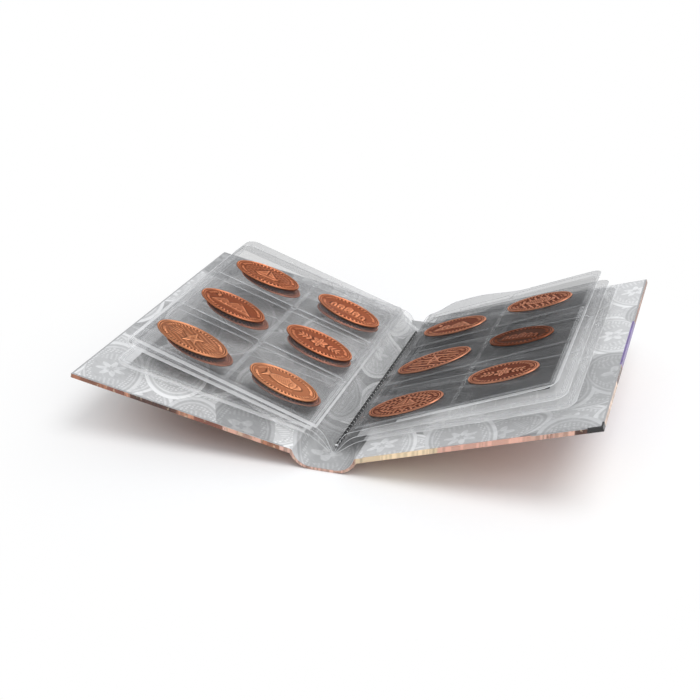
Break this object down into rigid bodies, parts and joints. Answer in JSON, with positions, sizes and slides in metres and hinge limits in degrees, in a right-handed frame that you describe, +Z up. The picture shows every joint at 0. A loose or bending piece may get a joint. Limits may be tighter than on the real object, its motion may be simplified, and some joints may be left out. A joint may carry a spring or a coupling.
{
  "type": "pressed penny album",
  "caption": "Small hardback album lying open on its rounded spine, with sewn clear vinyl pocket leaves that hold pressed oval pennies and covers that fold shut.",
  "frame": {"origin": "middle of the flat that the spine rests on", "axes": "+X across the open album toward the back cover, +Y along the spine toward the head of the leaves, +Z up"},
  "size_m": [0.266, 0.195, 0.0551],
  "materials": {
    "printed_wrap": "satin",
    "grey_board": "matte",
    "endpaper": "satin",
    "clear_vinyl": "gloss",
    "vinyl_weld": "satin",
    "thread": "matte",
    "copper": "satin"
  },
  "bodies": {
    "spine": {"spine_wrap": "printed_wrap", "spine_card": "grey_board", "spine_liner": "endpaper", "inner_fold": "clear_vinyl", "middle_fold": "clear_vinyl", "outer_fold": "clear_vinyl", "stitch_thread": "thread"},
    "front_cover": {"front_board": "grey_board", "front_wrap": "printed_wrap", "front_endpaper": "endpaper"},
    "back_cover": {"back_board": "grey_board", "back_wrap": "printed_wrap", "back_endpaper": "endpaper"},
    "front_top_leaf": {"front_top_film": "clear_vinyl", "front_top_pockets": "clear_vinyl", "front_top_welds": "vinyl_weld"},
    "front_middle_leaf": {"front_top_strip": "clear_vinyl", "front_middle_film": "clear_vinyl", "front_middle_pockets": "clear_vinyl", "front_middle_welds": "vinyl_weld", "front_middle_pennies": "copper"},
    "front_low_leaf": {"front_low_film": "clear_vinyl", "front_low_pockets": "clear_vinyl", "front_low_welds": "vinyl_weld"},
    "back_top_leaf": {"back_top_film": "clear_vinyl", "back_top_pockets": "clear_vinyl", "back_top_welds": "vinyl_weld"},
    "back_middle_leaf": {"back_top_strip": "clear_vinyl", "back_middle_film": "clear_vinyl", "back_middle_pockets": "clear_vinyl", "back_middle_welds": "vinyl_weld"},
    "back_low_leaf": {"back_low_film": "clear_vinyl", "back_low_pockets": "clear_vinyl", "back_low_welds": "vinyl_weld"},
    "front_penny_1": {"front_penny_1": "copper"},
    "front_penny_2": {"front_penny_2": "copper"},
    "front_penny_3": {"front_penny_3": "copper"},
    "front_penny_4": {"front_penny_4": "copper"},
    "front_penny_5": {"front_penny_5": "copper"},
    "front_penny_6": {"front_penny_6": "copper"},
    "back_penny_1": {"back_penny_1": "copper"},
    "back_penny_2": {"back_penny_2": "copper"},
    "back_penny_3": {"back_penny_3": "copper"},
    "back_penny_4": {"back_penny_4": "copper"},
    "back_penny_5": {"back_penny_5": "copper"},
    "back_penny_6": {"back_penny_6": "copper"}
  },
  "joints": [
    {"name": "front_cover_hinge", "type": "hinge", "parent": "spine", "child": "front_cover", "pos_m": [-0.01652, 0, 0.00817], "axis": [0, 1, 0], "range_deg": [-13.5, 78.5]},
    {"name": "back_cover_hinge", "type": "hinge", "parent": "spine", "child": "back_cover", "pos_m": [0.01652, 0, 0.00817], "axis": [0, 1, 0], "range_deg": [-72.7, 18.8]},
    {"name": "front_middle_crease", "type": "hinge", "parent": "spine", "child": "front_middle_leaf", "pos_m": [-0.0083, 0, 0.01135], "axis": [0, 1, 0], "range_deg": [-12.29, 71.42]},
    {"name": "front_low_crease", "type": "hinge", "parent": "spine", "child": "front_low_leaf", "pos_m": [-0.0116, 0, 0.0098], "axis": [0, 1, 0], "range_deg": [-13.22, 76.81]},
    {"name": "front_top_leaf_turn", "type": "hinge", "parent": "front_middle_leaf", "child": "front_top_leaf", "pos_m": [-0.00877, 0, 0.01424], "axis": [0, 1, 0], "range_deg": [0, 55]},
    {"name": "back_middle_crease", "type": "hinge", "parent": "spine", "child": "back_middle_leaf", "pos_m": [0.0083, 0, 0.01135], "axis": [0, 1, 0], "range_deg": [-70.02, 18.12]},
    {"name": "back_low_crease", "type": "hinge", "parent": "spine", "child": "back_low_leaf", "pos_m": [0.0116, 0, 0.0098], "axis": [0, 1, 0], "range_deg": [-71.41, 18.48]},
    {"name": "back_top_leaf_turn", "type": "hinge", "parent": "back_middle_leaf", "child": "back_top_leaf", "pos_m": [0.00871, 0, 0.0144], "axis": [0, 1, 0], "range_deg": [-55, 0]},
    {"name": "front_penny_1_slide", "type": "slide", "parent": "front_top_leaf", "child": "front_penny_1", "axis": [0, 1, 0], "range_m": [-0.0105, 0.036]},
    {"name": "front_penny_2_slide", "type": "slide", "parent": "front_top_leaf", "child": "front_penny_2", "axis": [0, 1, 0], "range_m": [-0.0075, 0.036]},
    {"name": "front_penny_3_slide", "type": "slide", "parent": "front_top_leaf", "child": "front_penny_3", "axis": [0, 1, 0], "range_m": [-0.0105, 0.0135]},
    {"name": "front_penny_4_slide", "type": "slide", "parent": "front_top_leaf", "child": "front_penny_4", "axis": [0, 1, 0], "range_m": [-0.008, 0.017]},
    {"name": "front_penny_5_slide", "type": "slide", "parent": "front_top_leaf", "child": "front_penny_5", "axis": [0, 1, 0], "range_m": [-0.008, 0.017]},
    {"name": "front_penny_6_slide", "type": "slide", "parent": "front_top_leaf", "child": "front_penny_6", "axis": [0, 1, 0], "range_m": [-0.0075, 0.0165]},
    {"name": "back_penny_1_slide", "type": "slide", "parent": "back_top_leaf", "child": "back_penny_1", "axis": [0, 1, 0], "range_m": [-0.006, 0.036]},
    {"name": "back_penny_2_slide", "type": "slide", "parent": "back_top_leaf", "child": "back_penny_2", "axis": [0, 1, 0], "range_m": [-0.01, 0.036]},
    {"name": "back_penny_3_slide", "type": "slide", "parent": "back_top_leaf", "child": "back_penny_3", "axis": [0, 1, 0], "range_m": [-0.0065, 0.017]},
    {"name": "back_penny_4_slide", "type": "slide", "parent": "back_top_leaf", "child": "back_penny_4", "axis": [0, 1, 0], "range_m": [-0.01, 0.013]},
    {"name": "back_penny_5_slide", "type": "slide", "parent": "back_top_leaf", "child": "back_penny_5", "axis": [0, 1, 0], "range_m": [-0.003, 0.021]},
    {"name": "back_penny_6_slide", "type": "slide", "parent": "back_top_leaf", "child": "back_penny_6", "axis": [0, 1, 0], "range_m": [-0.0145, 0.01]}
  ],
  "couplings": [
    {"joint": "front_middle_crease", "follows": "front_cover_hinge", "ratio": 0.9096},
    {"joint": "front_low_crease", "follows": "front_cover_hinge", "ratio": 0.9783},
    {"joint": "back_middle_crease", "follows": "back_cover_hinge", "ratio": 0.9629},
    {"joint": "back_low_crease", "follows": "back_cover_hinge", "ratio": 0.9821}
  ]
}
